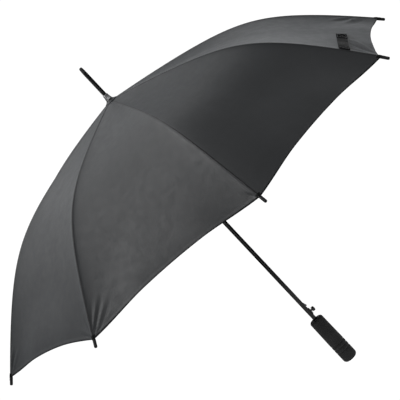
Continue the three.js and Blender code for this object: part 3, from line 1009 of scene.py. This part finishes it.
def add_strap_band(name, across_from, across_to, lift, thickness, columns, rows, material, replaces):
    """A flat band that lies on the fourth panel, from its seam towards the middle line."""
    bm = bmesh.new()
    layer = bm.verts.layers.float.new("across")
    bmesh.ops.create_grid(bm, x_segments=columns, y_segments=rows, size=0.5)
    flat = {}
    for corner in bm.verts:
        across = across_from + (across_to - across_from) * (corner.co.x + 0.5)
        offset = corner.co.y * STRAP_WIDTH
        flat[corner.index] = (across * half_width(STRAP_PLACE) * MM, offset * MM)
        corner[layer] = across
        corner.co = strap_point(across, offset, lift)
    lay_flat(bm, flat)
    bmesh.ops.solidify(bm, geom=bm.faces[:], thickness=thickness)
    moved(bm, at_rib(STRAP_RIB))
    made = piece(name, bm, material, "strap_webbing", replaces)
    hinge_cloth(made, STRAP_RIB, 1)
    return made


def strap_stitches(name, lines, above):
    """Rows of stitches on the strap, each from one (across, offset) place to another."""
    rows = []
    width = half_width(STRAP_PLACE)
    for (across_a, offset_a), (across_b, offset_b) in lines:
        length = math.hypot((across_b - across_a) * width, offset_b - offset_a)
        count = max(round(length / 2.6), 2)
        shares = [i / count for i in range(count + 1)]
        across = [across_a + (across_b - across_a) * t for t in shares]
        offsets = [offset_a + (offset_b - offset_a) * t for t in shares]
        points = [strap_point(x, y, above) for x, y in zip(across, offsets)]
        raised = [strap_point(x, y, above + 1) for x, y in zip(across, offsets)]
        normals = [(high - low).normalized() for low, high in zip(points, raised)]
        rows.append(stitch_row(points, normals, 2.2, 0.42, across))
    shape = moved(together(*rows), at_rib(STRAP_RIB))
    # The strap's stitches use the light grey thread: a painted highlight along them.
    made = piece(name, shape, PAINTED_HIGHLIGHT_THREAD, "strap_webbing", crease=60)
    hinge_cloth(made, STRAP_RIB, 1)


def box_stitch(across_from, across_to, crossed):
    """Lines of a sewn rectangle, with a cross inside it where it carries load."""
    edge = STRAP_WIDTH / 2 - 2.2
    a, b, c, d = (across_from, -edge), (across_to, -edge), (across_to, edge), (across_from, edge)
    return [(a, b), (b, c), (c, d), (d, a)] + ([(a, c), (b, d)] if crossed else [])


def add_strap():
    strap = add_strap_band("closure_band", 0.012, 0.965, 1.6, 0.9, 100, 16, STRAP, ["closure_strap"])
    patch = add_strap_band("hook_patch", 0.71, 0.96, 2.7, 0.9, 32, 12, HOOKS, ["strap_patch"])
    anchor = add_strap_band("strap_anchor", 0.008, 0.24, 2.5, 0.8, 24, 12, HOOKS, [])
    strap_stitches("hook_patch_stitches", box_stitch(0.725, 0.95, True), 2.8)
    strap_stitches("strap_anchor_stitches", box_stitch(0.03, 0.225, True), 2.6)
    length = 0.95 * half_width(STRAP_PLACE) * MM


def add_apex_cap():
    """Round cloth patch under the collar, gathered by its stitching."""
    box_low, box_high = (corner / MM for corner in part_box("canopy_cap"))
    outer, low, high = box_high.x, box_low.z, box_high.z
    profile = [
        (5.4, low + 0.5), (outer, low + 0.02), (outer + 0.3, low + 0.35), (outer, low + 0.7),
        (13.4, low + 1.5), (10.6, low + 3.1), (8.7, high - 0.5), (8.2, high - 0.05), (5.4, high - 0.05),
    ]
    bm = turned(rounded(profile, 0.5, 3), 96)
    for corner in bm.verts:
        reach = math.hypot(corner.co.x, corner.co.y)
        angle = math.atan2(corner.co.y, corner.co.x)
        gather = 0.22 * math.sin(angle * 24) * ease((reach - 8.5) / 3) * ease((outer - reach) / 2)
        corner.co.z += gather if corner.co.z > low + 0.6 else 0
    made = piece("apex_cap", bm, CLOTH, "cloth", ["canopy_cap"], crease=50)
    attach(made, "root")


# ---- ribs ----------------------------------------------------------------------------------------

def add_rib(rib):
    turn = at_rib(rib)
    first, last, pieces = 8, RIB_ARC + 10, 60
    line = []
    for i in range(pieces + 1):
        radius, height = seam_point((first + (last - first) * i / pieces) / RIB_ARC, ROD_DROP)
        line.append((radius, 0, height))
    bar = rod(line, ROD_RADIUS, 16)
    bar_map = bar.loops.layers.uv.new("bar")
    for face in bar.faces:
        for loop in face.loops:
            x, y, z = loop.vert.co
            loop[bar_map].uv = (math.hypot(x, z - APEX_HEIGHT) * MM, math.atan2(y, z) * 0.1)
    made = piece(f"rib_rod_{rib}", moved(bar, turn), FIBRE, "rib_rod", [f"rib_{rib}"])
    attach(made, f"rib_{rib}")

    crown_end = (HUB_PIVOT_RADIUS - APEX_RADIUS) / RIB_ARC
    height = seam_point(crown_end, ROD_DROP)[1]
    tilt = Matrix.Rotation(slope_at(crown_end), 4, "Y")
    at_crown = Matrix.Translation((HUB_PIVOT_RADIUS, 0, height)) @ tilt
    eye = cut_out(cross_pin(2.3, 2.2, (0, 0, 0), 32, 0.25), cross_pin(0.95, 6, (0, 0, 0), 24, 0))
    shank = block((9.2, 2.2, 2.9), (6.2, 0, 0), 0.4)
    socket_profile = [(0, 8.5), (2.35, 8.5), (2.35, 15), (2.0, 17), (0, 17)]
    socket = moved(turned(rounded(socket_profile, 0.4), 32), ALONG_X)
    fitting = moved(together(eye, shank, socket), turn @ at_crown)
    made = piece(f"rib_eye_{rib}", fitting, PLASTIC, "rib_rod")
    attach(made, f"rib_{rib}")

    at_joint = on_rib(JOINT_ARC / RIB_ARC, ROD_DROP)
    sleeve = moved(turned(rounded([(0, -7), (2.5, -7), (2.5, 7), (0, 7)], 0.6), 32), ALONG_X)
    tongue_outline = [(-3.4, -1.2), (3.4, -1.2), (2.5, -JOINT_DROP - 1.2), (1.2, -JOINT_DROP - 2.15),
                      (-1.2, -JOINT_DROP - 2.15), (-2.5, -JOINT_DROP - 1.2)]
    clip = moved(together(sleeve, plate(tongue_outline, 2.0, 0.3)), turn @ at_joint)
    made = piece(f"rib_clip_{rib}", clip, PLASTIC, "rib_rod")
    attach(made, f"rib_{rib}")

    rivet = together(
        cross_pin(0.8, 5.2, (0, 0, -JOINT_DROP), 20, 0),
        cross_pin(1.5, 0.5, (0, 2.6, -JOINT_DROP), 24, 0.2),
        cross_pin(1.5, 0.5, (0, -2.6, -JOINT_DROP), 24, 0.2),
    )
    made = piece(f"rib_rivet_{rib}", moved(rivet, turn @ at_joint), STEEL, "spring_steel")
    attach(made, f"rib_{rib}")

    ties = []
    tie_places = (150, 400, 545)
    for arc in tie_places:
        for offset in (-0.5, 0.1, 0.7):
            loop = ring(1.85, 0.22, 0, 28, 6)
            stretched = Matrix.Translation((offset, 0, 0.35)) @ ALONG_X
            ties.append(moved(loop, on_rib(arc / RIB_ARC, ROD_DROP) @ stretched))
    made = piece(f"rib_ties_{rib}", moved(together(*ties), turn), THREAD, "cloth")
    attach(made, f"rib_{rib}")


def add_tip(rib):
    """Cap on the rib's end, with the lug that the canopy's corner is sewn to."""
    turn = at_rib(rib)
    at_end = on_rib(1, ROD_DROP)
    profile = [
        (2.0, -7.0), (2.9, -7.0), (3.1, -5.0), (3.5, 0.4), (3.5, 15.2), (2.9, 16.8), (1.5, 17.4), (0, 17.5),
        (0, 11), (2.0, 11),
    ]
    shell = moved(turned(rounded(profile, 0.35, 3), 40), ALONG_X)
    lug = plate([(2.2, 2.0), (7.2, 2.0), (6.9, 3.7), (6.3, 4.0), (4.4, 4.0), (3.2, 3.7)], 1.5, 0.25)
    cap = moved(together(shell, lug), turn @ at_end)
    made = piece(f"tip_cap_{rib}", cap, PLASTIC, "black_plastic", [f"rib_tip_{rib}"])
    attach(made, f"rib_{rib}")
    threads = []
    for beside in (-0.45, 0.0, 0.45):
        points = []
        for k in range(24):
            angle = k * FULL_TURN / 24
            reach = math.cos(angle)
            points.append((2.0 + 3.6 * reach, beside * (1 + reach), 3.4 + 0.35 * math.sin(angle)))
        threads.append(rod(points, 0.2, 8, cyclic=True))
    made = piece(f"corner_thread_{rib}", moved(together(*threads), turn @ at_end), THREAD, "cloth")
    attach(made, f"rib_{rib}")
    add_corner_shade_pocket(rib, turn)


def add_corner_shade_pocket(rib, turn):
    """Folded patch of cloth sewn over the canopy's corner, where it hangs on the tip cap, darker than the
    canopy: painted shade for the fold shadows at the corner.
    """
    halves = []
    for side in (-1, 1):
        bm = bmesh.new()
        bmesh.ops.create_grid(bm, x_segments=10, y_segments=12, size=0.5)
        for corner in bm.verts:
            along = corner.co.y + 0.5
            u = 1 - (9 - 9.5 * along) / RIB_ARC
            reach = 7.5 * (corner.co.x + 0.5) * (1 - 0.35 * along)
            across = reach / half_width(u)
            lift = cloth_lift(rib, side, min(u, 0.995), across)
            corner.co = cloth_point(u, across, lift + 0.5 + 0.5 * ease(1 - reach / 3), side)
        halves.append(face_up(bm))
    pocket = closed_up(together(*halves), 1e-3)
    if sum(face.normal.z for face in pocket.faces) < 0:
        bmesh.ops.reverse_faces(pocket, faces=pocket.faces[:])
    bmesh.ops.solidify(pocket, geom=pocket.faces[:], thickness=0.4)
    # The strap's darker finish makes the pocket a dark patch: painted shade for the fold shadows at the
    # corner.
    made = piece(f"corner_shade_pocket_{rib}", moved(pocket, turn), STRAP, "cloth")
    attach(made, f"rib_{rib}")


def add_stretcher(rib):
    """Folded steel channel between the runner and the rib's clip."""
    joint_radius, joint_height = seam_point(JOINT_ARC / RIB_ARC, ROD_DROP + JOINT_DROP)
    crown_height = seam_point((HUB_PIVOT_RADIUS - APEX_RADIUS) / RIB_ARC, ROD_DROP)[1]
    length = math.hypot(joint_radius - HUB_PIVOT_RADIUS, joint_height - crown_height)
    rise = math.asin((crown_height - joint_height) / length)
    runner_height = crown_height - 2 * length * math.sin(rise)
    place = Matrix.Translation((HUB_PIVOT_RADIUS, 0, runner_height)) @ Matrix.Rotation(-rise, 4, "Y")
    turn = at_rib(rib)

    half, wall, top = 1.6, 0.45, 1.7
    section = [
        (-half, -top), (-half, top), (half, top), (half, -top),
        (half - wall, -top), (half - wall, top - wall), (-half + wall, top - wall), (-half + wall, -top),
    ]
    channel = drawn_out([(9, y, z) for y, z in section], (length - 19, 0, 0))
    long_edges = [e for e in channel.edges if abs(e.verts[0].co.x - e.verts[1].co.x) > 50]
    eased(channel, long_edges, 0.18)
    eye = cut_out(cross_pin(2.3, 2.0, (0, 0, 0), 32, 0.2), cross_pin(0.95, 6, (0, 0, 0), 24, 0))
    shank = block((10.5, 2.0, 2.3), (6.4, 0, 0), 0.3)
    cheeks = []
    for side in (-1, 1):
        outline = [
            (length - 16, -1.75), (length - 16, 1.75), (length - 2, 1.9), (length + 0.8, 1.75),
            (length + 1.9, 0.6), (length + 1.9, -0.6), (length + 0.8, -1.75), (length - 2, -1.9),
        ]
        cheek = cut_out(plate(outline, 0.8, 0.15), cross_pin(1.1, 4, (length, 0, 0), 20, 0))
        cheeks.append(moved(cheek, Matrix.Translation((0, side * 1.85, 0))))
    whole = moved(together(channel, eye, shank, *cheeks), turn @ place)
    made = piece(f"stretcher_channel_{rib}", whole, PAINT, "stretcher_steel", [f"stretcher_{rib}"])
    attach(made, f"stretcher_{rib}")


# ---- parts on the shaft --------------------------------------------------------------------------

def heights(node):
    low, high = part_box(node)
    return low.z / MM, high.z / MM


def add_shaft():
    low, high = heights("shaft")
    bore, radius = 4.2, 5.0
    tube = turned(rounded([(bore, low), (radius, low), (radius, high), (bore, high)], 0.25, 3), 96)
    slot = moved(block((5, 2.9, 19), (5.5, 0, 107.8), 0), about_shaft(CATCH_ANGLE))
    stem = peg(BUTTON_STEM_RADIUS, BUTTON_STEM_RADIUS, 6, (5, 0, BUTTON_HEIGHT))
    tube = cut_out(tube, slot, moved(stem, about_shaft(CATCH_ANGLE)))
    made = piece("shaft_tube", tube, LACQUER, "shaft_steel", ["shaft"])
    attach(made, "root")


def add_collar_and_ferrule():
    low, high = heights("ferrule_collar")
    collar = [
        (5.3, low), (8.2, low), (8.25, low + 0.8), (7.9, low + 2.4), (7.1, low + 6.4), (6.55, low + 10.5),
        (6.4, high), (5.3, high),
    ]
    shape = turned(rounded(collar, 0.35, 4), 96)
    made = piece("ferrule_collar_ring", shape, CHROME, "chrome", ["ferrule_collar"])
    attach(made, "root")

    pin_angle = math.radians(108)
    pin = peg(1.35, 1.2, 0.9, (6.35, 0, high - 3.4))
    made = piece("collar_pin", moved(pin, about_shaft(pin_angle)), LACQUER, "chrome")
    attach(made, "root")

    low, high = heights("ferrule_tube")
    tube = [
        (0, low), (3.9, low), (3.9, 774.9), (4.85, 774.9), (4.85, 842), (2.5, 842), (2.5, high), (0, high),
    ]
    shape = turned(rounded(tube, 0.2, 3), 80)
    made = piece("ferrule_barrel", shape, LACQUER, "shaft_steel", ["ferrule_tube"])
    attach(made, "root")

    low, high = heights("ferrule_tip")
    tip = [(0, 849.4), (2.9, 849.4), (2.9, low), (4.7, low), (4.55, low + 4), (4.3, low + 7.4), (3.95, 853.4),
           (3.4, 855.3), (2.4, high - 0.15), (0, high)]
    made = piece("ferrule_point", turned(rounded(tip, 0.3, 3), 80), GUNMETAL, "tip_metal", ["ferrule_tip"])
    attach(made, "root")


def add_spring():
    low, high = heights("opening_spring")
    wire = 0.7
    low, high = low + wire, high - wire
    shape = coil(7.0, wire, low, high, 8, 28, 12)
    made = piece("opening_coil", shape, STEEL, "spring_steel", ["opening_spring"])
    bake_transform(made)


def add_sleeve():
    """The runner's hand sleeve, with finger ridges and the catch's window."""
    low, high = heights("runner_sleeve")
    bore = 5.6
    profile = [
        (bore, high), (9.4, high), (9.4, high - 4), (8.2, high - 6), (8.2, low + 12), (9.8, low + 3),
        (9.8, low), (bore, low),
    ]
    ridges = []
    for i in range(5):
        top = low + 34 - 4 * i
        ridges += [(8.2, top + 1.0), (8.75, top), (8.2, top - 1.0)]
    profile[4:4] = ridges
    window = moved(block((8, 3.4, 9), (8, 0, low + 12), 0), about_shaft(CATCH_ANGLE))
    body = cut_out(turned(rounded(profile, 0.4, 3), 80), window)
    made = piece("runner_hand_sleeve", body, PLASTIC, "black_plastic", ["runner_sleeve"])
    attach(made, "runner_sleeve")


def add_wire_rings():
    for node, body in (("crown_wire", "root"), ("runner_wire", "runner")):
        low, high = heights(node)
        shape = ring(HUB_PIVOT_RADIUS, 0.6, (low + high) / 2)
        made = piece(f"{node}_ring", shape, STEEL, "spring_steel", [node])
        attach(made, body)


def add_grip():
    """Foam grip with rounded shoulders and three shallow grooves near its end."""
    low, high = heights("grip_foam")
    top_radius, bottom_radius = 17.6, 18.5
    outer = [(0, low), (9.5, low)]
    round_end = 8.5
    for i in range(1, 13):
        angle = i * math.pi / 26
        radius = bottom_radius - round_end * (1 - math.sin(angle)) - 0.1
        outer.append((radius, low + round_end * (1 - math.cos(angle))))
    for groove in (-33.5, -23.5, -13.5):
        for k in range(9):
            share = k / 8
            depth = 0.85 * math.sin(math.pi * share) ** 1.4
            outer.append((18.45 - depth, groove - 2.2 + 4.4 * share))
    shoulder = 5.5
    for i in range(13):
        angle = i * math.pi / 24
        outer.append((top_radius - shoulder * (1 - math.cos(angle)), high - shoulder * (1 - math.sin(angle))))
    pocket_floor = -54.5
    inner = [
        (9.2, high), (8.7, high - 0.5), (8.6, high - 1.2), (8.6, pocket_floor), (0, pocket_floor),
    ]
    made = piece("grip_sleeve", turned(outer + inner, 112), FOAM, "grip_foam", ["grip_foam"], crease=40)
    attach(made, "root")
    low, high = heights("grip_core")
    core = [(0, low), (8.2, low), (8.2, high - 0.4), (5.4, high - 0.4), (5.4, -46), (0, -46)]
    made = piece("grip_insert", turned(rounded(core, 0.4, 3), 64), PLASTIC, "black_plastic", ["grip_core"])
    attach(made, "root")


def along_catch(bm, height):
    """Lays a shape turned about z along the push button's axis."""
    return moved(bm, about_shaft(CATCH_ANGLE) @ Matrix.Translation((0, 0, height)) @ ALONG_X)


def add_button():
    height = BUTTON_HEIGHT
    head = [
        (0, 1.6), (2.7, 1.6), (2.7, 9.7), (5.3, 9.7), (5.6, 10.1), (5.6, 14.9), (5.2, 15.9), (4.2, 16.55),
        (2.4, 16.82), (0, 16.9),
    ]
    body = turned(rounded(head, 0.3, 3), 72)
    for corner in body.verts:
        reach = math.hypot(corner.co.x, corner.co.y)
        if corner.co.z > 16 and reach < 4.6:
            corner.co.z += 0.14 * math.cos(corner.co.x * 3.4) * ease((4.6 - reach) / 1.2) - 0.14
    made = piece("push_button", along_catch(body, height), BUTTON, "black_plastic", ["release_button"])
    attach(made, "button")

    band = turned(rounded([(3.2, 7.2), (4.4, 7.2), (4.4, 7.8), (3.2, 7.8)], 0.15, 3), 64)
    made = piece("button_bezel", along_catch(band, height), CHROME, "chrome", ["button_ring"])
    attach(made, "root")

    saddle = block((3.9, 9.0, 17), (4.95, 0, height), 1.4, 4)
    bore = turned([(0, height - 20), (5.3, height - 20), (5.3, height + 20), (0, height + 20)], 64)
    stem = peg(BUTTON_STEM_RADIUS, BUTTON_STEM_RADIUS, 10, (5, 0, height), 40)
    seat = moved(cut_out(saddle, bore, stem), about_shaft(CATCH_ANGLE))
    made = piece("button_saddle", seat, PLASTIC, "black_plastic", ["button_housing"])
    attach(made, "root")


def add_catch():
    step = 100.5
    outline = [
        (0.4, 92), (2.6, 92), (2.6, step), (7.7, step), (8.1, step + 0.4), (8.1, 102), (7.4, 104.4),
        (4.6, 113), (2.6, 116.5), (0.4, 116.5),
    ]
    pushed = about_shaft(CATCH_ANGLE)
    tooth = moved(plate(outline, 2.0, 0.22), pushed)
    made = piece("catch_plate", tooth, STEEL, "spring_steel", ["catch_tooth"])
    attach(made, "catch")

    shape = along_catch(coil(1.5, 0.22, -3.5, 0, 3, 24, 8), 106)
    made = piece("catch_coil", shape, STEEL, "spring_steel", ["catch_spring"])
    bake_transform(made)


def finish_hub(node):
    """A moulded hub keeps its own shape, with its edges eased."""
    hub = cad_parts[node]
    hub.data.materials.clear()
    hub.data.materials.append(PLASTIC)
    weld = hub.modifiers.new("weld", "WELD")
    weld.merge_threshold = 1e-6
    bevel = hub.modifiers.new("bevel", "BEVEL")
    bevel.width = 0.25 * MM
    bevel.segments = 2
    bevel.limit_method = "ANGLE"
    bevel.angle_limit = math.radians(30)
    bevel.harden_normals = True
    for polygon in hub.data.polygons:
        polygon.use_smooth = True


add_camera()
add_studio()
add_floor()
for number in range(1, RIBS + 1):
    for half in (1, -1):
        add_half_panel(number, half)
        add_hem_stitches(number, half)
    add_seam_stitches(number)
    add_rib(number)
    add_tip(number)
    add_stretcher(number)
add_strap()
add_apex_cap()
add_shaft()
add_collar_and_ferrule()
add_spring()
add_sleeve()
add_wire_rings()
add_grip()
add_button()
add_catch()
finish_hub("crown")
finish_hub("runner_hub")
